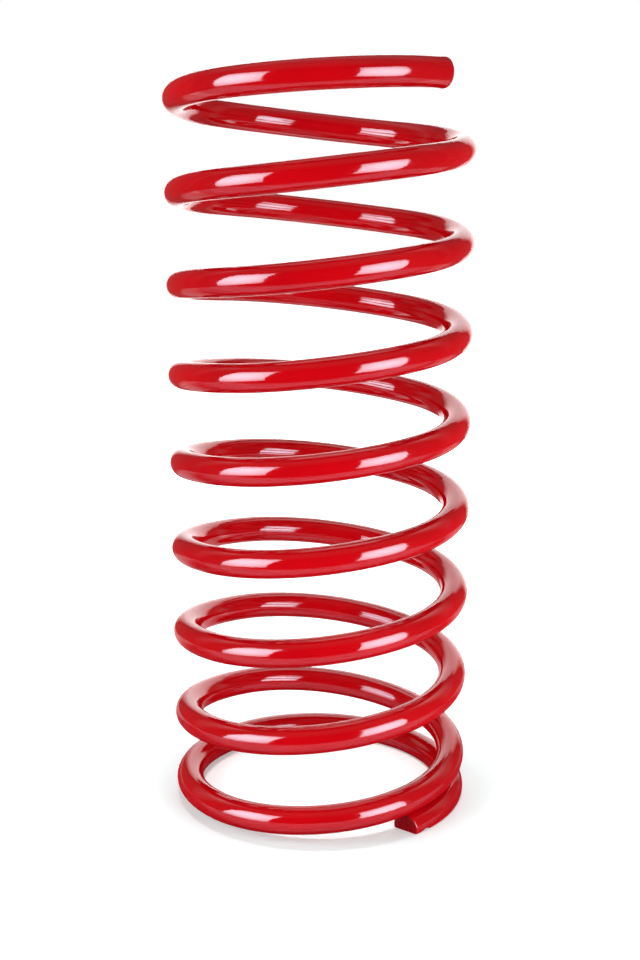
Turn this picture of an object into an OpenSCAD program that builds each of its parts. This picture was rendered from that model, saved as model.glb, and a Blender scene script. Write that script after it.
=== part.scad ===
// Helical compression coil spring wound from one round bar.
// The lower end is closed on itself and ground flat to sit on a seat.
// The upper end is left open: the last stretch levels off and is simply cut.
// The coil axis is Z, the ground face lies on Z = 0 and +Z is up. Sizes are in millimetres.

/* [Bar] */
// Diameter of the round bar
wire_d = 13; // [9:0.5:17]

/* [Coil] */
// Clear diameter inside the coil
inside_d = 117; // [90:1:160]
// Height of the unloaded spring
free_height = 351; // [280:1:450]
// Turns from tip to tip
turns = 9.045; // [6:0.005:11]
// Plan angle of the lower tip about the axis, from +X
tip_angle = -52; // [-180:1:180]

/* [Lower end] */
// Bar thickness left at the ground tip
tip_thickness = 8.5; // [7:0.25:11]
// Air between the ground tip and the turn above it
closing_gap = 0.6; // [0.4:0.1:3]
// Turns wound nearly level for the seat
seat_turns = 0.6; // [0.45:0.05:0.7]
// Turns over which the coil climbs to its full pitch
climb_turns = 0.5; // [0.4:0.05:1]
// Angle of the lower cut out of square, inner side longer
lower_cut = 13; // [0:1:25]

/* [Upper end] */
// Turns over which the coil levels off at the top
level_turns = 0.3; // [0.25:0.01:0.8]
// Angle of the upper cut out of square, inner side longer
upper_cut = 20; // [0:1:30]

/* [Hidden] */

coat_red = [0.76, 0.02, 0.06];
wire_r = wire_d / 2;
coil_r = (inside_d + wire_d) / 2;
tip_z = tip_thickness - wire_r;
around_bar = 18;
around_turn = 36;

// The centre line is a chain of plane arcs, each turning the bar by a quarter.
// Every arc starts square to the one before it, so neighbours share one round face.
quarter = 90;
longest_last = 110;

// Share of the full pitch reached after t turns
function climb(t) = min(max((t - seat_turns) / climb_turns, 0), 1);

// Share of the pitch that is left near the top
function level(t) = min(max((turns - t) / level_turns, 0), 1);

// Part of the first turn's rise that comes from the climb
climb_share = (climb(0) + 2 * climb(0.25) + 2 * climb(0.5) + 2 * climb(0.75) + climb(1)) / 8;

// Rise per turn in the seat: the first turn must end just above the tip
function seat_pitch(pitch) = (wire_d + closing_gap - pitch * climb_share) / (1 - climb_share);

// Rise per turn after t turns
function rise_rate(t, pitch) = level(t) * (seat_pitch(pitch) * (1 - climb(t)) + pitch * climb(t));

// Elevation of the bar at a joint, from the rise of a quarter turn
function elevation(t, pitch) = asin(rise_rate(t, pitch) / (8 * coil_r));

// Plan angle covered by an arc that leaves at elevation e0 and arrives at e1
function plan_angle(e0, e1) = acos(-tan(e0) * tan(e1));

// Fields of an arc in the chain
RADIUS = 0;
START_E = 1;
END_E = 2;
PLAN = 3;
SWEEP = 4;

// Arcs from turn t on. The chain stays tangent to the coil cylinder in plan, and off is
// how far the joint lies past the point of contact.
function chain(pitch, t, e0, off) =
    let (
        left = (turns - t) * 360,
        is_last = left <= longest_last,
        e1 = is_last ? asin(-sin(e0) / tan(left)) : elevation(t + 0.25, pitch),
        plan = plan_angle(e0, e1),
        reach = coil_r * tan(plan / 2),
        radius = (reach - off) / cos(e0),
        sweep = is_last ? left * quarter / plan : quarter,
        this_arc = [radius, e0, e1, plan, sweep]
    )
    is_last
        ? [this_arc]
        : concat([this_arc], chain(pitch, t + plan / 360, e1, radius * cos(e1) - reach));

function arcs_at(pitch) = chain(pitch, 0, elevation(0, pitch), 0);

// Rise along one arc
function arc_rise(a) = a[RADIUS] * (sin(a[SWEEP]) * sin(a[START_E]) + (1 - cos(a[SWEEP])) * sin(a[END_E]));

function sum(list, i = 0) = i < len(list) ? list[i] + sum(list, i + 1) : 0;

// Top of the spring at a given pitch
function top_at(pitch) = tip_z + sum([for (a = arcs_at(pitch)) arc_rise(a)]) + wire_r;

// Full pitch that gives the free height, by one secant step
pitch_low = 0.9 * free_height / turns;
pitch_high = 1.1 * free_height / turns;
pitch_slope = (top_at(pitch_high) - top_at(pitch_low)) / (pitch_high - pitch_low);
full_pitch = pitch_low + (free_height - top_at(pitch_low)) / pitch_slope;

arcs = arcs_at(full_pitch);
last = len(arcs) - 1;

// Unit direction at plan angle p and elevation e
function heading(p, e) = [cos(p) * cos(e), sin(p) * cos(e), sin(e)];

// Roll of the arc plane between arc i and the next one
function roll(i) =
    let (
        before = heading(0, arcs[i][START_E]),
        axis = heading(arcs[i][PLAN], arcs[i][END_E]),
        after = -heading(arcs[i][PLAN] + arcs[i + 1][PLAN], arcs[i + 1][END_E])
    )
    atan2(cross(before, after) * axis, before * after);

// Half a roll, rounded to a cosine of six digits so that the shared faces match
function half_roll(i) = sign(roll(i)) * acos(round(cos(roll(i) / 2) * 1e6) / 1e6);

// Whole degrees of spare bar that a slanted cut takes off
function spare(slant, radius) = ceil((wire_r * tan(slant) + 1) / radius * 180 / PI) + 1;

cutter = 2 * wire_d;

module lower_cutter(radius) {
    translate([radius, 0, 0])
        rotate([0, 0, lower_cut])
            translate([-cutter / 2, -cutter, -cutter / 2])
                cube(cutter);
}

module upper_cutter(radius, sweep) {
    rotate([0, 0, sweep])
        translate([radius, 0, 0])
            rotate([0, 0, -upper_cut])
                translate([-cutter / 2, 0, -cutter / 2])
                    cube(cutter);
}

module bent_bar(radius, from, sweep) {
    rotate_extrude(start = from, angle = sweep, $fn = around_turn)
        translate([radius, 0])
            circle(r = wire_r, $fn = around_bar);
}

// One arc about the origin, starting at +X and running towards +Y
module arc(i) {
    radius = arcs[i][RADIUS];
    sweep = arcs[i][SWEEP];
    if (i == 0)
        difference() {
            bent_bar(radius, -spare(lower_cut, radius), sweep + spare(lower_cut, radius));
            lower_cutter(radius);
        }
    else if (i == last)
        difference() {
            bent_bar(radius, 0, sweep + spare(upper_cut, radius));
            upper_cutter(radius, sweep);
        }
    else
        bent_bar(radius, 0, sweep);
}

// Arc i with the rest of the bar joined to its end
module bar_from(i) {
    arc(i);
    if (i < last)
        rotate([0, 0, quarter])
            translate([arcs[i][RADIUS], 0, 0])
                rotate([0, half_roll(i), 0])
                    rotate([0, half_roll(i), 0])
                        translate([-arcs[i + 1][RADIUS], 0, 0])
                            bar_from(i + 1);
}

// Places the bar with its lower tip on the coil cylinder
module placed_bar() {
    along = heading(tip_angle + 90, arcs[0][START_E]);
    out = -heading(tip_angle + 90 + arcs[0][PLAN], arcs[0][END_E]);
    up = cross(out, along);
    tip = [coil_r * cos(tip_angle), coil_r * sin(tip_angle), tip_z];
    centre = tip - arcs[0][RADIUS] * out;
    multmatrix([
        [out.x, along.x, up.x, centre.x],
        [out.y, along.y, up.y, centre.y],
        [out.z, along.z, up.z, centre.z]
    ])
        bar_from(0);
}

module coil_spring() {
    seat_w = 2 * inside_d + 4 * wire_d;
    color(coat_red)
        difference() {
            placed_bar();
            translate([-seat_w / 2, -seat_w / 2, -wire_d])
                cube([seat_w, seat_w, wire_d]);
        }
}

coil_spring();
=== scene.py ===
"""Dresses a packed suspension coil spring: the wound bar, its red powder coat and a white studio."""

import math

import bmesh
import bpy
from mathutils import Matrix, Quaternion, Vector


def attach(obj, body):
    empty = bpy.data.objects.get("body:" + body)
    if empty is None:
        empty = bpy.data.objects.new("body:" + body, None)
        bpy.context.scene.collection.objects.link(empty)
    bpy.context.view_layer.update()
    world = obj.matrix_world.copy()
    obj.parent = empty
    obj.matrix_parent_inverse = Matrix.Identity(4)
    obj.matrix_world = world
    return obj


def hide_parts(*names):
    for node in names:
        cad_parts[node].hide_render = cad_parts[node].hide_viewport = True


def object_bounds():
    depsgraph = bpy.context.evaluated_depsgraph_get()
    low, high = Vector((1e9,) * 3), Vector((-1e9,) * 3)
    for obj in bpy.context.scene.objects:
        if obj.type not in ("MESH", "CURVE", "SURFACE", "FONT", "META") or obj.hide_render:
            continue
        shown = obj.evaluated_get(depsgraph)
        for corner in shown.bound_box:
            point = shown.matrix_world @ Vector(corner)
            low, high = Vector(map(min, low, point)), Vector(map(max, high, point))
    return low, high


bl_info = {
    "name": "Suspension coil spring",
    "version": (1, 0, 0),
    "blender": (4, 5, 0),
    "location": "3D View > Sidebar > Spring",
    "description": "Winds a ground and coated coil spring and sets up its studio",
    "category": "Object",
}

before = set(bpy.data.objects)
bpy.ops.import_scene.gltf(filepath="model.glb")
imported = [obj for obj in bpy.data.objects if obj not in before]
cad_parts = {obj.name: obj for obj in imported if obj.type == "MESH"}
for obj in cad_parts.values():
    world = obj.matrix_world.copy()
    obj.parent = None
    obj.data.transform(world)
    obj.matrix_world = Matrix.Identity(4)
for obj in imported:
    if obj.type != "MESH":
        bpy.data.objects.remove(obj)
CAD_BOX = [list(corner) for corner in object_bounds()]
NODE = "coil_spring"
SLOT = "red_powder_coat"
CUT_MARK = "cut_face"
MM = 0.001
QUARTER = math.radians(90)

# Winding: the longest arc that may end the bar, finer steps for the two end arcs, and the welds
LONGEST_LAST_ARC = math.radians(110)
END_FINENESS = 3
WELD = 0.02 * MM
SMOOTH_ANGLE = math.radians(40)

# Ends: the length of bar that a cut shapes, the rounded rim, and how near a point counts as on the cut
END_STRETCH = 9 * MM
FLARE_STRETCH = 0.8 * END_STRETCH
TOP_MARGIN = 0.02 * MM
RIM_SEGMENTS = 4
RIM_DEPTH = 0.1 * MM
CAP_INSET = 0.35 * MM
CUT_DEPTH = 0.12 * MM

# Nick in the edge of the ground face, beside the tip
NICK_SPOT = Vector((49.2 * MM, -50.1 * MM, 0))
NICK_WIDTH = 2.6 * MM
NICK_DEPTH = 1.0 * MM

# Coat: how close its patterns lie, counted over a metre
POOLS_PER_METRE = 22.0
NIBS_PER_METRE = 75.0
GRIT_PER_METRE = 700.0
GRINDING_PER_METRE = (1800, 90, 90)
GRINDING_ANGLE = math.radians(35)
GROUND_ABOVE = 0.25 * MM
GROUND_BELOW = 0.06 * MM

# Coat: how much its patterns raise the surface
NIB_HEIGHT = 1.6
PIT_HEIGHT = 3.0
SCORE_HEIGHT = 1.2
BUMP_STRENGTH = 0.06
BUMP_DISTANCE = 0.4 * MM

# Coat: haze and dullness on the cuts and the ground face, and gloss towards the outline of the bar
CUT_COVER = 0.85
CUT_HAZE = 0.22
CUT_DULLING = 0.75
GROUND_HAZE = 0.12
COAT_IOR = 1.5
FULL_LEVEL = 0.5
GLANCING_POWER = 2.78
GLANCING_LEVEL = 0.167

# Table: its edges in the gloss as axis, outer and inner end of the fade, its shade and its bounce
TABLE_SIZE = 8
TABLE_EDGES = (("X", -0.66, -0.56), ("X", 0.52, 0.42), ("Y", -0.30, -0.19), ("Y", 0.40, 0.28))
TABLE_SHADE = (0.77, 0.90, 0.90)
TABLE_BOUNCE = 0.5
FAR_TABLE = 4.2

# Room: light on the colour of the coat, and what its gloss shows at the sides, overhead and behind
ROOM_LIGHT = 0.10
ROOM_SIDES = 0.1
ROOM_CEILING = 0.12
OVER_SHEET = 3.2
BEHIND = 8.0

# Tall lamps: side, place, turn about Z, brightness in the gloss and share of the colour light
LAMPS = (
    ("left", (-0.752, -0.471, 0.46), math.radians(-60), 16.8, 1.07),
    ("right", (0.646, -0.640, 0.27), math.radians(47), 17.0, 1.02),
)
LAMP_SIZE = (0.60, 1.0)
LAMP_TINT = (0.75, 1.0, 1.17)
LAMP_DROP = (0.28, 0.66)

# Low lamp, which lights the colour of the lower turns from the front right
LOW_SPOT = (0.30, -0.40, 0.06)
LOW_TURN = math.radians(37)
LOW_SIZE = (0.3, 0.1)
LOW_SHARE = 1.35

# White sheet behind the coil, in the gloss and as a light on the colour
WHITE = (1, 1, 1)
SHEET_SPOT = (0.18, 1.05, 0.36)
SHEET_SIZE = (1.40, 1.0)
SHEET_PEAK = 15.6
SHEET_DROP = (0.0, 0.25)
SHEET_FADE = 0.27
SHEET_LIGHT_SPOT = (0.13, 1.05, 0.3)
SHEET_LIGHT_SIZE = (0.92, 0.8)
SHEET_SHARE = 0.7

# Overhead light, which only the table gets
OVERHEAD_SPOT = (0, 0, 1.6)
OVERHEAD_SIZE = (0.3, 0.3)

SENSOR_HEIGHT = 36


# Settings

class SpringSizes(bpy.types.PropertyGroup):
    """Sizes of the wound bar"""

    bar_d: bpy.props.FloatProperty(
        name="Bar diameter", description="Diameter of the round bar",
        default=13 * MM, min=8 * MM, max=20 * MM, unit="LENGTH")
    inside_d: bpy.props.FloatProperty(
        name="Inside diameter", description="Clear diameter inside the coil",
        default=117 * MM, min=80 * MM, max=200 * MM, unit="LENGTH")
    free_height: bpy.props.FloatProperty(
        name="Free height", description="Height of the unloaded spring",
        default=round(CAD_BOX[1][2], 4), min=0.2, max=0.6, unit="LENGTH")
    turns: bpy.props.FloatProperty(
        name="Turns", description="Turns from tip to tip", default=9.045, min=4, max=14)
    tip_angle: bpy.props.FloatProperty(
        name="Tip angle", description="Plan angle of the lower tip, from +X",
        default=math.radians(-52), subtype="ANGLE")
    tip_thickness: bpy.props.FloatProperty(
        name="Tip thickness", description="Bar thickness left at the ground tip",
        default=8.5 * MM, unit="LENGTH")
    closing_gap: bpy.props.FloatProperty(
        name="Closing gap", description="Air between the ground tip and the turn above it",
        default=0.6 * MM, unit="LENGTH")
    seat_turns: bpy.props.FloatProperty(
        name="Seat turns", description="Turns wound nearly level for the seat", default=0.6)
    climb_turns: bpy.props.FloatProperty(
        name="Climb turns", description="Turns over which the coil reaches its full pitch", default=0.5)
    level_turns: bpy.props.FloatProperty(
        name="Level turns", description="Turns over which the coil levels off at the top", default=0.3)
    lower_cut: bpy.props.FloatProperty(
        name="Lower cut", description="Angle of the lower cut out of square, inner side longer",
        default=math.radians(13), subtype="ANGLE")
    upper_cut: bpy.props.FloatProperty(
        name="Upper cut", description="Angle of the upper cut out of square, inner side longer",
        default=math.radians(20), subtype="ANGLE")
    cut_round: bpy.props.FloatProperty(
        name="Cut edge", description="Rounding of the coated rim of each cut",
        default=0.5 * MM, unit="LENGTH")
    upper_flare: bpy.props.FloatProperty(
        name="Upper flare", description="Swelling of the bar where the upper end was sheared",
        default=0.3 * MM, unit="LENGTH")
    ground_round: bpy.props.FloatProperty(
        name="Ground edge", description="Rounding of the coated edge of the ground face",
        default=0.5 * MM, unit="LENGTH")
    sides: bpy.props.IntProperty(
        name="Sides", description="Faces around the bar", default=96, min=24, max=128)
    steps: bpy.props.IntProperty(
        name="Steps", description="Faces along a quarter turn", default=20, min=8, max=32)


class CoatLook(bpy.types.PropertyGroup):
    """Look of the powder coat"""

    red: bpy.props.FloatVectorProperty(
        name="Red", description="Colour of the coat", subtype="COLOR",
        size=3, min=0, max=1, default=(0.60, 0.0021, 0.0062))
    deep_red: bpy.props.FloatVectorProperty(
        name="Deep red", description="Colour where the coat lies thicker", subtype="COLOR",
        size=3, min=0, max=1, default=(0.52, 0.0015, 0.0050))
    # The darker red of the two cut faces.
    cut_red: bpy.props.FloatVectorProperty(
        name="Cut red", description="Colour of the thin coat on the two cuts", subtype="COLOR",
        size=3, min=0, max=1, default=(0.25, 0.003, 0.012))
    gloss: bpy.props.FloatProperty(
        name="Roughness", description="Roughness of the cured coat", default=0.07, min=0, max=1,
        subtype="FACTOR")
    peel_size: bpy.props.FloatProperty(
        name="Orange peel", description="Spacing of the waves in the coat",
        default=3.2 * MM, unit="LENGTH")


class StudioLook(bpy.types.PropertyGroup):
    """Camera and light of the studio"""

    camera_distance: bpy.props.FloatProperty(
        name="Camera distance", description="From the coil axis to the camera",
        default=0.6730, unit="LENGTH")
    camera_height: bpy.props.FloatProperty(
        name="Camera height", description="Height of the camera over the floor",
        default=0.3107, unit="LENGTH")
    camera_tilt: bpy.props.FloatProperty(
        name="Camera tilt", description="Tilt of the camera below level",
        default=math.radians(12.81), subtype="ANGLE")
    lens: bpy.props.FloatProperty(
        name="Lens", description="Focal length on a frame 36 mm high", default=53.81, min=20, max=200)
    floor_white: bpy.props.FloatVectorProperty(
        name="Floor", description="Colour of the table in the gloss of the coat", subtype="COLOR",
        size=3, min=0, max=1, default=(0.67, 0.67, 0.81))
    colour_light: bpy.props.FloatProperty(
        name="Light", description="Brightness of the lamps on the colour of the coat",
        default=4.0, min=0, max=10)
    table_light: bpy.props.FloatProperty(
        name="Table light", description="Brightness of the light that only the table gets",
        default=60, min=0, max=200)


# The bar's path

def share(value):
    """value held between 0 and 1."""
    return min(max(value, 0.0), 1.0)


def heading(plan, rise):
    """Unit direction at a plan angle and an elevation."""
    return Vector((math.cos(plan) * math.cos(rise), math.sin(plan) * math.cos(rise), math.sin(rise)))


class BarPath:
    """The centre line as a chain of quarter-turn arcs, as the solid has it."""

    def __init__(self, sizes):
        self.sizes = sizes
        self.bar_r = sizes.bar_d / 2
        self.coil_r = (sizes.inside_d + sizes.bar_d) / 2
        low = 0.9 * sizes.free_height / sizes.turns
        high = 1.1 * sizes.free_height / sizes.turns
        gain = (self.top_at(high) - self.top_at(low)) / (high - low)
        pitch = low + (sizes.free_height - self.top_at(low)) / gain
        self.arcs = self.placed(self.chain(pitch))

    def climb(self, turn):
        """Share of the full pitch reached after some turns."""
        return share((turn - self.sizes.seat_turns) / self.sizes.climb_turns)

    def level(self, turn):
        """Share of the pitch that is left near the top."""
        return share((self.sizes.turns - turn) / self.sizes.level_turns)

    def rise_rate(self, turn, pitch):
        """Rise per turn: a seat that closes on its own tip, a climb, an even pitch and a level end."""
        first_turn = (0.0, 0.25, 0.25, 0.5, 0.5, 0.75, 0.75, 1.0)
        from_climb = sum(self.climb(t) for t in first_turn) / len(first_turn)
        closing = self.sizes.bar_d + self.sizes.closing_gap
        seat = (closing - pitch * from_climb) / (1 - from_climb)
        return self.level(turn) * (seat + (pitch - seat) * self.climb(turn))

    def elevation(self, turn, pitch):
        """Elevation of the bar at a joint, from the rise of a quarter turn."""
        return math.asin(self.rise_rate(turn, pitch) / (8 * self.coil_r))

    def chain(self, pitch):
        """Arcs as (radius, first elevation, last elevation, plan angle, sweep)."""
        arcs = []
        turn = 0.0
        first = self.elevation(0.0, pitch)
        past_contact = 0.0
        while True:
            left = (self.sizes.turns - turn) * math.tau
            is_last = left <= LONGEST_LAST_ARC
            if is_last:
                last = math.asin(-math.sin(first) / math.tan(left))
            else:
                last = self.elevation(turn + 0.25, pitch)
            plan = math.acos(-math.tan(first) * math.tan(last))
            reach = self.coil_r * math.tan(plan / 2)
            radius = (reach - past_contact) / math.cos(first)
            sweep = left * QUARTER / plan if is_last else QUARTER
            arcs.append((radius, first, last, plan, sweep))
            if is_last:
                return arcs
            turn += plan / math.tau
            past_contact = radius * math.cos(last) - reach
            first = last

    def top_at(self, pitch):
        """Top of the spring at a given pitch."""
        height = self.sizes.tip_thickness
        for radius, first, last, _, sweep in self.chain(pitch):
            height += radius * (math.sin(sweep) * math.sin(first) + (1 - math.cos(sweep)) * math.sin(last))
        return height

    def placed(self, chain):
        """Arcs as dictionaries of their ends, directions there, centre, axis and sweep, in the row frame."""
        tip_angle = self.sizes.tip_angle
        point = Vector((self.coil_r * math.cos(tip_angle), self.coil_r * math.sin(tip_angle),
                        self.sizes.tip_thickness - self.bar_r))
        plan_now = tip_angle + QUARTER
        arcs = []
        for radius, first, last, plan, sweep in chain:
            along = heading(plan_now, first)
            inward = heading(plan_now + plan, last)
            end = point + radius * (math.sin(sweep) * along + (1 - math.cos(sweep)) * inward)
            arcs.append({
                "start": point,
                "centre": point + radius * inward,
                "axis": along.cross(inward),
                "sweep": sweep,
                "along": along,
                "end": end,
                "end_along": math.cos(sweep) * along + math.sin(sweep) * inward,
            })
            point = end
            plan_now += plan
        return arcs


# Helpers for modelling

def begin_piece():
    """Leaves nothing selected, so that an operator acts only on the new piece."""
    if bpy.context.mode != "OBJECT":
        bpy.ops.object.mode_set(mode="OBJECT")
    bpy.ops.object.select_all(action="DESELECT")


def select_rim(piece, centre, normal, radius):
    """Selects the open rim of the bar around a cut and nothing else, in edit mode."""
    bpy.ops.mesh.select_mode(type="EDGE")
    bpy.ops.mesh.select_all(action="DESELECT")
    mesh = bmesh.from_edit_mesh(piece.data)
    for edge in mesh.edges:
        middle = (edge.verts[0].co + edge.verts[1].co) / 2 - centre
        if edge.is_boundary and abs(middle.dot(normal)) < RIM_DEPTH and middle.length < 1.1 * radius:
            edge.select_set(True)
    bmesh.update_edit_mesh(piece.data)


def close_end(piece, end, radius, rounding):
    """Caps one end of the bar, rounds the rim of the cap and leaves a flat field inside it."""
    centre = end["centre"]
    select_rim(piece, centre, end["back"], radius)
    bpy.ops.mesh.edge_face_add()
    bpy.ops.mesh.bevel(offset=rounding, offset_type="OFFSET", segments=RIM_SEGMENTS, affect="EDGES")
    bpy.ops.mesh.select_mode(type="FACE")
    bpy.ops.mesh.select_all(action="DESELECT")
    mesh = bmesh.from_edit_mesh(piece.data)
    near = [face for face in mesh.faces if (face.calc_center_median() - centre).length < 0.2 * radius]
    max(near, key=lambda face: len(face.verts)).select_set(True)
    bmesh.update_edit_mesh(piece.data)
    bpy.ops.mesh.inset(thickness=CAP_INSET, depth=0)


def points_near_end(mesh, end, radius):
    """Points of the last stretch of bar, with their depth behind the cut and offset from the centre line."""
    centre, back = end["centre"], end["back"]
    for vert in mesh.verts:
        place = vert.co - centre
        depth = place.dot(back)
        offset = place - depth * back
        if -MM < depth < END_STRETCH and offset.length < 1.08 * radius:
            yield vert, max(depth, 0.0), offset


def flare_end(piece, end, radius, flare, top):
    """Swells the last few millimetres as a shear leaves them, but not above the top of the coil."""
    mesh = bmesh.from_edit_mesh(piece.data)
    for vert, depth, offset in points_near_end(mesh, end, radius):
        swell = share(1 - depth / FLARE_STRETCH)
        vert.co += offset * (flare / radius) * swell * swell * (3 - 2 * swell)
        vert.co.z = min(vert.co.z, top)
    bmesh.update_edit_mesh(piece.data)


def slant_end(piece, end, radius):
    """Leans the cut, so that the inner side of the bar is the longer one."""
    mesh = bmesh.from_edit_mesh(piece.data)
    for vert, depth, offset in points_near_end(mesh, end, radius):
        vert.co += end["back"] * math.tan(end["cut"]) * offset.dot(end["out"]) * (1 - depth / END_STRETCH)
    bmesh.update_edit_mesh(piece.data)


def grind_flat(piece, rounding):
    """Presses what lies below the seat plane up to it, with a rounded edge where the flat begins."""
    mesh = bmesh.from_edit_mesh(piece.data)
    for vert in mesh.verts:
        if vert.co.z < 4 * rounding:
            vert.co.z = (vert.co.z + math.hypot(vert.co.z, rounding)) / 2
    bmesh.update_edit_mesh(piece.data)


def nick_edge(piece, spot, width, depth):
    """Presses a small nick into the edge of the ground face."""
    mesh = bmesh.from_edit_mesh(piece.data)
    for vert in mesh.verts:
        away = (vert.co - spot).length
        if away < width:
            vert.co.z += depth * (1 - (away / width) ** 2)
    bmesh.update_edit_mesh(piece.data)


def mark_cut_faces(piece, ends, radius):
    """Notes where the bar was cut, for the coat to be a darker red and duller there."""
    mark = piece.data.attributes.new(CUT_MARK, "FLOAT", "POINT")
    for end in ends:
        face = (end["back"] * math.cos(end["cut"]) - end["out"] * math.sin(end["cut"])).normalized()
        for vert in piece.data.vertices:
            place = vert.co - end["centre"]
            if place.length < 1.2 * radius and abs(place.dot(face)) < CUT_DEPTH:
                mark.data[vert.index].value = 1.0


def open_edges(piece):
    """Number of edges that do not join exactly two faces."""
    mesh = bmesh.new()
    mesh.from_mesh(piece.data)
    count = sum(not edge.is_manifold for edge in mesh.edges)
    mesh.free()
    return count


# Helpers for materials

def new_material(name):
    """Material with an empty node tree."""
    material = bpy.data.materials.new(name)
    material.use_nodes = True
    material.node_tree.nodes.clear()
    return material, material.node_tree


def add_node(tree, kind, place, **values):
    """Node with values for its sockets or its settings."""
    node = tree.nodes.new(kind)
    node.location = place
    for name, value in values.items():
        if name in node.inputs:
            node.inputs[name].default_value = value
        else:
            setattr(node, name, value)
    return node


def feed(tree, value, socket):
    """Links a socket to an input, or sets a plain value on it."""
    if isinstance(value, bpy.types.NodeSocket):
        tree.links.new(value, socket)
    else:
        socket.default_value = value


def coordinates(tree, place, kind):
    """Texture coordinates of one kind, whole and split into X, Y and Z."""
    whole = add_node(tree, "ShaderNodeTexCoord", place).outputs[kind]
    split = add_node(tree, "ShaderNodeSeparateXYZ", (place[0] + 200, place[1]))
    tree.links.new(whole, split.inputs["Vector"])
    return whole, split.outputs


def ramp(tree, place, value, low, high, to_low=0.0, to_high=1.0):
    """Smooth step of a value from one number to another."""
    node = add_node(tree, "ShaderNodeMapRange", place, interpolation_type="SMOOTHSTEP")
    node.inputs["From Min"].default_value = low
    node.inputs["From Max"].default_value = high
    node.inputs["To Min"].default_value = to_low
    node.inputs["To Max"].default_value = to_high
    tree.links.new(value, node.inputs["Value"])
    return node.outputs["Result"]


def calculate(tree, place, operation, *values):
    """Math node fed by sockets or numbers."""
    node = add_node(tree, "ShaderNodeMath", place, operation=operation)
    for socket, value in zip(node.inputs, values):
        feed(tree, value, socket)
    return node.outputs["Value"]


def blend_colours(tree, place, factor, first, second):
    """Mix of two colours, each a socket or a plain colour."""
    node = add_node(tree, "ShaderNodeMix", place, data_type="RGBA")
    colours = [socket for socket in node.inputs if socket.type == "RGBA"]
    tree.links.new(factor, node.inputs[0])
    for socket, colour in zip(colours, (first, second)):
        feed(tree, colour if isinstance(colour, bpy.types.NodeSocket) else (*colour, 1), socket)
    return next(socket for socket in node.outputs if socket.type == "RGBA")


def glow(tree, place, kind, tint, strength):
    """Emission or background of one colour, with a socket or a number as its strength."""
    node = add_node(tree, kind, place, Color=(*tint, 1))
    feed(tree, strength, node.inputs["Strength"])
    return node.outputs[0]


def add_shaders(tree, place, first, second):
    """Sum of two shaders."""
    node = add_node(tree, "ShaderNodeAddShader", place)
    tree.links.new(first, node.inputs[0])
    tree.links.new(second, node.inputs[1])
    return node.outputs["Shader"]


def choose_shader(tree, place, factor, otherwise, chosen):
    """Mix of two shaders, all of the last where the factor is 1."""
    node = add_node(tree, "ShaderNodeMixShader", place)
    for socket, value in zip(node.inputs, (factor, otherwise, chosen)):
        tree.links.new(value, socket)
    return node.outputs["Shader"]


def put_out(tree, place, kind, surface):
    """Output of a material or a world."""
    output = add_node(tree, kind, place)
    tree.links.new(surface, output.inputs["Surface"])


# Materials

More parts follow.
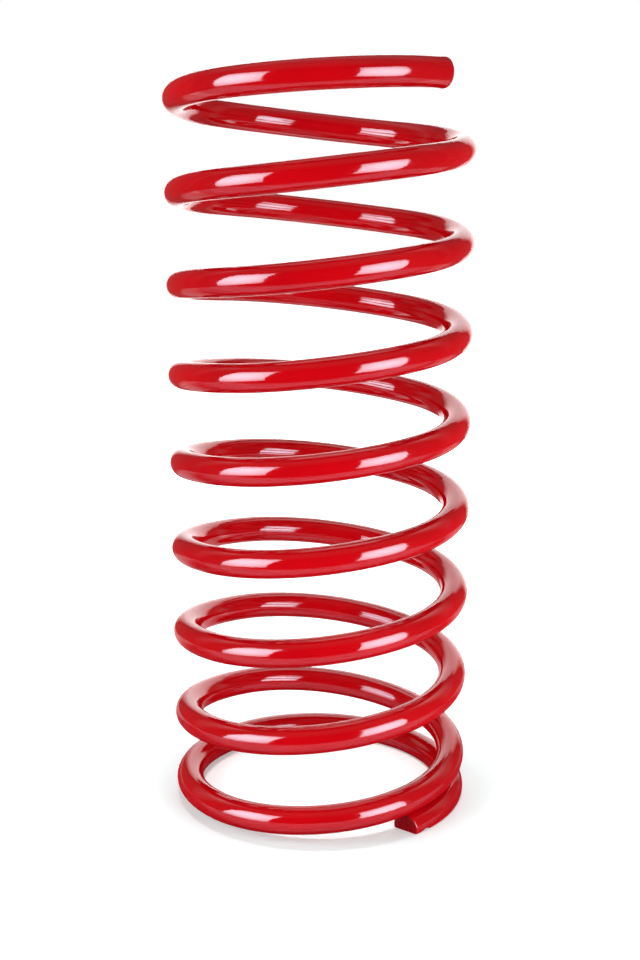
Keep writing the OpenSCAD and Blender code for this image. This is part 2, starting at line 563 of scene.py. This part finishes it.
def powder_coat(look):
    """Glossy red powder coat with a faint orange peel, a few nibs of dust and an uneven red. It is a darker
    red and dull on the two cuts and shows fine grinding lines on the seat."""
    material, tree = new_material(SLOT)
    link = tree.links.new
    place, along = coordinates(tree, (-1800, 0), "Object")

    def noise(spot, scale, detail, vector=place):
        node = add_node(tree, "ShaderNodeTexNoise", spot, Scale=scale, Detail=detail)
        link(vector, node.inputs["Vector"])
        return node.outputs["Fac"]

    peel = noise((-1400, -300), 1 / look.peel_size, 1.0)
    pooling = noise((-1400, 300), POOLS_PER_METRE, 3.0)
    grit = noise((-1400, 900), GRIT_PER_METRE, 3.0)
    cells = add_node(tree, "ShaderNodeTexVoronoi", (-1400, -600), Scale=NIBS_PER_METRE, Randomness=1.0)
    link(place, cells.inputs["Vector"])
    nib = ramp(tree, (-1200, -600), cells.outputs["Distance"], 0.045, 0.015)
    stretch = add_node(tree, "ShaderNodeMapping", (-1600, -1200),
                       Rotation=(0, 0, GRINDING_ANGLE), Scale=GRINDING_PER_METRE)
    link(place, stretch.inputs["Vector"])
    lines = noise((-1400, -1200), 1.0, 2.0, stretch.outputs["Vector"])
    ground = ramp(tree, (-1400, -900), along["Z"], GROUND_ABOVE, GROUND_BELOW)
    cut = add_node(tree, "ShaderNodeAttribute", (-1400, 600), attribute_name=CUT_MARK).outputs["Fac"]

    pools = ramp(tree, (-1150, 300), pooling, 0.35, 0.7)
    red = blend_colours(tree, (-900, 300), pools, look.red, look.deep_red)
    patches = ramp(tree, (-1150, 700), grit, 0.35, 0.65)
    # Darker red of the two cuts, mottled by the grit.
    thin = blend_colours(tree, (-900, 700), patches, look.cut_red, look.deep_red)
    cover = calculate(tree, (-900, 900), "MULTIPLY", cut, CUT_COVER)
    tone = blend_colours(tree, (-600, 400), cover, red, thin)

    haze = ramp(tree, (-900, 0), pooling, 0.3, 0.7, 0.8 * look.gloss, 1.25 * look.gloss)
    haze = calculate(tree, (-700, 50), "MULTIPLY_ADD", cut, CUT_HAZE, haze)
    haze = calculate(tree, (-500, 50), "MULTIPLY_ADD", ground, GROUND_HAZE, haze)

    height = calculate(tree, (-900, -400), "MULTIPLY_ADD", nib, NIB_HEIGHT, peel)
    pitted = calculate(tree, (-900, -700), "MULTIPLY", grit, cut)
    height = calculate(tree, (-700, -500), "MULTIPLY_ADD", pitted, PIT_HEIGHT, height)
    scored = calculate(tree, (-900, -1000), "MULTIPLY", lines, ground)
    height = calculate(tree, (-500, -600), "MULTIPLY_ADD", scored, SCORE_HEIGHT, height)
    bump = add_node(tree, "ShaderNodeBump", (-250, -400), Strength=BUMP_STRENGTH, Distance=BUMP_DISTANCE)
    link(height, bump.inputs["Height"])

    coat = add_node(tree, "ShaderNodeBsdfPrincipled", (0, 0), IOR=COAT_IOR)
    link(tone, coat.inputs["Base Color"])
    link(haze, coat.inputs["Roughness"])
    link(outline_gloss(tree, cut), coat.inputs["Specular IOR Level"])
    link(bump.outputs["Normal"], coat.inputs["Normal"])
    put_out(tree, (300, 0), "ShaderNodeOutputMaterial", coat.outputs["BSDF"])
    return material


def outline_gloss(tree, cut):
    """Specular level of the coat: full where it is seen straight on, low towards the outline of the bar,
    so that no side of the coil turns white, and dull on the cuts."""
    facing = add_node(tree, "ShaderNodeLayerWeight", (-1100, -1400), Blend=0.5).outputs["Facing"]
    straight = calculate(tree, (-900, -1400), "SUBTRACT", 1.0, facing)
    falling = calculate(tree, (-800, -1550), "POWER", straight, GLANCING_POWER)
    glancing = calculate(tree, (-700, -1400), "MULTIPLY", falling, GLANCING_LEVEL)
    full = ramp(tree, (-700, -1250), straight, 0.5, 0.7)
    short = calculate(tree, (-500, -1400), "SUBTRACT", FULL_LEVEL, glancing)
    level = calculate(tree, (-300, -1300), "MULTIPLY_ADD", full, short, glancing)
    dulled = calculate(tree, (-300, -1500), "MULTIPLY_ADD", cut, -CUT_DULLING, 1.0)
    return calculate(tree, (-150, -1400), "MULTIPLY", level, dulled)


def table_top(look):
    """White table with a soft shadow to the camera, and one with edges in the gloss of the coat. A shade
    poor in red keeps the shadow grey, and the table throws only a part of its light back on the coat."""
    material, tree = new_material("white_table")
    link = tree.links.new
    place, along = coordinates(tree, (-1400, 0), "Object")
    ray = add_node(tree, "ShaderNodeLightPath", (-1000, 900)).outputs

    away = add_node(tree, "ShaderNodeVectorMath", (-1000, 600), operation="LENGTH")
    link(place, away.inputs[0])
    fade = ramp(tree, (-800, 600), away.outputs["Value"], 0.20, 0.60, 0.30, 1.0)
    white = glow(tree, (-400, 500), "ShaderNodeEmission", WHITE, fade)
    shade = add_node(tree, "ShaderNodeBsdfDiffuse", (-400, 350), Color=(*TABLE_SHADE, 1))
    seen = add_shaders(tree, (-200, 450), white, shade.outputs["BSDF"])

    inside = 1.0
    for row, (axis, outer, inner) in enumerate(TABLE_EDGES):
        edge = ramp(tree, (-1000, 300 - 250 * row), along[axis], outer, inner)
        inside = calculate(tree, (-800, 300 - 250 * row), "MULTIPLY", edge, inside)
    bounce = tuple(TABLE_BOUNCE * part for part in look.floor_white)
    colour = blend_colours(tree, (-600, 100), ray["Is Diffuse Ray"], look.floor_white, bounce)
    matt = add_node(tree, "ShaderNodeBsdfDiffuse", (-400, 100))
    link(colour, matt.inputs["Color"])
    far = ramp(tree, (-800, 850), along["Y"], 0.06, 0.18, 0.0, FAR_TABLE)
    far = calculate(tree, (-600, 850), "MULTIPLY", far, ray["Is Glossy Ray"])
    sheen = glow(tree, (-400, 750), "ShaderNodeEmission", WHITE, far)
    lit = add_shaders(tree, (-300, 200), matt.outputs["BSDF"], sheen)
    open_air = add_node(tree, "ShaderNodeBsdfTransparent", (-400, -50)).outputs["BSDF"]
    mirrored = choose_shader(tree, (-200, 100), inside, open_air, lit)

    surface = choose_shader(tree, (0, 300), ray["Is Camera Ray"], mirrored, seen)
    put_out(tree, (200, 300), "ShaderNodeOutputMaterial", surface)
    return material


def lit_panel(name, tint, peak, drop, side_fade=0.0):
    """Diffuser of a lamp: brightest in the middle, dimmer towards its edges by a drop across and a drop
    down, and fading out over a share of its width at both sides."""
    material, tree = new_material(name)
    _, along = coordinates(tree, (-1000, 0), "UV")
    strength = peak
    for row, (axis, loss) in enumerate(zip("XY", drop)):
        middle = calculate(tree, (-600, -200 * row), "SUBTRACT", along[axis], 0.5)
        square = calculate(tree, (-400, -200 * row), "MULTIPLY", middle, middle)
        dome = calculate(tree, (-200, -200 * row), "MULTIPLY_ADD", square, -4 * loss, 1.0)
        strength = calculate(tree, (0, -200 * row), "MULTIPLY", dome, strength)
    if side_fade > 0:
        for row, (outer, inner) in enumerate(((0.0, side_fade), (1.0, 1.0 - side_fade))):
            fade = ramp(tree, (-200, -500 - 250 * row), along["X"], outer, inner)
            strength = calculate(tree, (0, -500 - 250 * row), "MULTIPLY", fade, strength)
    surface = glow(tree, (300, 0), "ShaderNodeEmission", tint, strength)
    put_out(tree, (500, 0), "ShaderNodeOutputMaterial", surface)
    return material


def studio_world():
    """White to the camera, a dim even room to the colour, and in the gloss dark in front of the spring and
    bright behind it."""
    world = bpy.data.worlds.new("white_studio")
    world.use_nodes = True
    tree = world.node_tree
    tree.nodes.clear()
    ray = add_node(tree, "ShaderNodeLightPath", (-800, 300)).outputs
    _, towards = coordinates(tree, (-1000, 0), "Generated")

    sides = ramp(tree, (-600, 0), towards["Y"], -0.85, -0.2, 0.0, ROOM_SIDES)
    ceiling = ramp(tree, (-600, -250), towards["Z"], 0.55, 0.95, 0.0, ROOM_CEILING)
    over_sheet = ramp(tree, (-600, -500), towards["Y"], 0.1, 0.6, 1.0, OVER_SHEET)
    room = calculate(tree, (-400, -200), "MULTIPLY_ADD", ceiling, over_sheet, sides)
    behind = ramp(tree, (-600, -750), towards["Y"], 0.15, 0.55, 1.0, BEHIND)
    room = calculate(tree, (-300, -100), "MULTIPLY", room, behind)

    mirrored = glow(tree, (-200, 0), "ShaderNodeBackground", WHITE, room)
    ambient = glow(tree, (-200, -200), "ShaderNodeBackground", WHITE, ROOM_LIGHT)
    white = glow(tree, (-200, 200), "ShaderNodeBackground", WHITE, 1.0)
    unseen = choose_shader(tree, (0, -50), ray["Is Glossy Ray"], ambient, mirrored)
    surface = choose_shader(tree, (200, 50), ray["Is Camera Ray"], unseen, white)
    put_out(tree, (400, 0), "ShaderNodeOutputWorld", surface)
    return world


# Operators

class SPRING_OT_wind_bar(bpy.types.Operator):
    """Wind the round bar into the coil, cut its ends, grind its seat and coat it"""

    bl_idname = "spring.wind_bar"
    bl_label = "Wind the bar"

    def execute(self, context):
        sizes = context.scene.spring_sizes
        path = BarPath(sizes)
        first, last = path.arcs[0], path.arcs[-1]
        piece = self.wind(context, sizes, path)
        bpy.ops.object.mode_set(mode="EDIT")
        lower = {"centre": first["start"], "back": first["along"], "cut": sizes.lower_cut}
        upper = {"centre": last["end"], "back": -last["end_along"], "cut": sizes.upper_cut}
        for end in (lower, upper):
            end["out"] = Vector((end["centre"].x, end["centre"].y, 0)).normalized()
            close_end(piece, end, path.bar_r, sizes.cut_round)
        flare_end(piece, upper, path.bar_r, sizes.upper_flare, sizes.free_height - TOP_MARGIN)
        for end in (lower, upper):
            slant_end(piece, end, path.bar_r)
        grind_flat(piece, sizes.ground_round)
        nick_edge(piece, NICK_SPOT, NICK_WIDTH, NICK_DEPTH)
        bpy.ops.mesh.select_all(action="SELECT")
        bpy.ops.mesh.normals_make_consistent(inside=False)
        bpy.ops.object.mode_set(mode="OBJECT")
        bpy.ops.object.shade_smooth_by_angle(angle=SMOOTH_ANGLE)
        mark_cut_faces(piece, (lower, upper), path.bar_r)
        if open_edges(piece):
            raise RuntimeError("the wound bar is not closed")
        piece.data.materials.append(powder_coat(context.scene.spring_coat))
        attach(piece, "root")
        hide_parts(NODE)
        return {"FINISHED"}

    def wind(self, context, sizes, path):
        """Bends each arc from a ring of its own and joins the arcs into one open tube."""
        lengths = []
        facing = path.arcs[0]["along"].to_track_quat("Z", "Y")
        for arc in path.arcs:
            begin_piece()
            bpy.ops.mesh.primitive_circle_add(
                vertices=sizes.sides, radius=path.bar_r, fill_type="NOTHING",
                location=arc["start"], rotation=facing.to_euler())
            bpy.ops.object.transform_apply(location=True, rotation=True, scale=True)
            bpy.ops.object.mode_set(mode="EDIT")
            bpy.ops.mesh.select_all(action="SELECT")
            fineness = END_FINENESS if arc in (path.arcs[0], path.arcs[-1]) else 1
            steps = max(1, round(fineness * sizes.steps * arc["sweep"] / QUARTER))
            bpy.ops.mesh.spin(steps=steps, angle=-arc["sweep"], center=arc["centre"], axis=arc["axis"])
            bpy.ops.object.mode_set(mode="OBJECT")
            lengths.append(context.object)
            facing = Quaternion(arc["axis"], arc["sweep"]) @ facing
        begin_piece()
        for length in lengths:
            length.select_set(True)
        piece = lengths[0]
        context.view_layer.objects.active = piece
        bpy.ops.object.join()
        piece.name = piece.data.name = "wound_bar"
        bpy.ops.object.mode_set(mode="EDIT")
        bpy.ops.mesh.select_all(action="SELECT")
        bpy.ops.mesh.remove_doubles(threshold=WELD)
        bpy.ops.object.mode_set(mode="OBJECT")
        return piece


class SPRING_OT_set_stage(bpy.types.Operator):
    """Lay the white table, hang the lights and place the camera"""

    bl_idname = "spring.set_stage"
    bl_label = "Set the stage"

    def execute(self, context):
        look = context.scene.spring_studio
        begin_piece()
        bpy.ops.mesh.primitive_plane_add(size=TABLE_SIZE)
        table = context.object
        table.name = "table"
        table.data.materials.append(table_top(look))
        context.scene.world = studio_world()
        self.hang_lights(context, look, table)
        self.place_camera(context, look)
        context.scene.view_settings.view_transform = "Standard"
        return {"FINISHED"}

    def hang_lights(self, context, look, table):
        """Two tall lamps and a low one in front of the coil, a white sheet behind it and a light on the
        table. What the gloss shows and what lights the colour are separate, so each can be set alone."""
        for side, spot, bearing, peak, share_of_colour in LAMPS:
            turn = (QUARTER, 0, bearing)
            diffuser = lit_panel("diffuser_" + side, LAMP_TINT, peak, LAMP_DROP)
            self.panel(context, "lamp_" + side, spot, turn, LAMP_SIZE, diffuser)
            self.lamp(context, "colour_" + side, spot, turn, LAMP_SIZE, share_of_colour * look.colour_light)
        self.lamp(context, "colour_low", LOW_SPOT, (QUARTER, 0, LOW_TURN), LOW_SIZE,
                  LOW_SHARE * look.colour_light)
        sheet = lit_panel("white_sheet", WHITE, SHEET_PEAK, SHEET_DROP, SHEET_FADE)
        self.panel(context, "sheet", SHEET_SPOT, (QUARTER, 0, 0), SHEET_SIZE, sheet)
        self.lamp(context, "colour_sheet", SHEET_LIGHT_SPOT, (-QUARTER, 0, 0), SHEET_LIGHT_SIZE,
                  SHEET_SHARE * look.colour_light)
        overhead = self.lamp(context, "overhead", OVERHEAD_SPOT, (0, 0, 0), OVERHEAD_SIZE, look.table_light)
        only_table = bpy.data.collections.new("only_table")
        only_table.objects.link(table)
        overhead.light_linking.receiver_collection = only_table

    def panel(self, context, name, spot, turn, size, material):
        """Upright sheet that only the gloss of the coat shows."""
        begin_piece()
        bpy.ops.mesh.primitive_plane_add(size=1, location=spot, rotation=turn)
        panel = context.object
        panel.name = name
        panel.scale = (*size, 1)
        panel.data.materials.append(material)
        panel.visible_camera = False
        panel.visible_diffuse = False
        panel.visible_transmission = False
        panel.visible_shadow = False

    def lamp(self, context, name, spot, turn, size, radiance):
        """Area light for the colour of the coat, left out of its gloss."""
        light = bpy.data.lights.new(name, "AREA")
        light.shape = "RECTANGLE"
        light.size, light.size_y = size
        light.energy = radiance * math.pi * size[0] * size[1]
        lamp = bpy.data.objects.new(name, light)
        context.scene.collection.objects.link(lamp)
        lamp.location = spot
        lamp.rotation_euler = turn
        lamp.visible_camera = False
        lamp.visible_glossy = False
        return lamp

    def place_camera(self, context, look):
        """Camera in front of the coil, tilted a little down."""
        lens = bpy.data.cameras.new("camera")
        lens.sensor_fit = "VERTICAL"
        lens.sensor_height = SENSOR_HEIGHT
        lens.lens = look.lens
        camera = bpy.data.objects.new("camera", lens)
        context.scene.collection.objects.link(camera)
        camera.location = (0, -look.camera_distance, look.camera_height)
        camera.rotation_euler = (QUARTER - look.camera_tilt, 0, 0)
        context.scene.camera = camera


class SPRING_PT_panel(bpy.types.Panel):
    """Sizes, look and build steps of the coil spring"""

    bl_idname = "SPRING_PT_panel"
    bl_label = "Coil spring"
    bl_space_type = "VIEW_3D"
    bl_region_type = "UI"
    bl_category = "Spring"

    def draw(self, context):
        for group in (context.scene.spring_sizes, context.scene.spring_coat, context.scene.spring_studio):
            box = self.layout.box()
            for name in group.__annotations__:
                box.prop(group, name)
        for operator in (SPRING_OT_wind_bar, SPRING_OT_set_stage):
            self.layout.operator(operator.bl_idname)


CLASSES = (SpringSizes, CoatLook, StudioLook, SPRING_OT_wind_bar, SPRING_OT_set_stage, SPRING_PT_panel)


def register():
    for cls in CLASSES:
        bpy.utils.register_class(cls)
    bpy.types.Scene.spring_sizes = bpy.props.PointerProperty(type=SpringSizes)
    bpy.types.Scene.spring_coat = bpy.props.PointerProperty(type=CoatLook)
    bpy.types.Scene.spring_studio = bpy.props.PointerProperty(type=StudioLook)


def unregister():
    del bpy.types.Scene.spring_studio
    del bpy.types.Scene.spring_coat
    del bpy.types.Scene.spring_sizes
    for cls in reversed(CLASSES):
        bpy.utils.unregister_class(cls)


def main():
    register()
    bpy.ops.spring.wind_bar()
    bpy.ops.spring.set_stage()


if __name__ == "__main__":
    main()
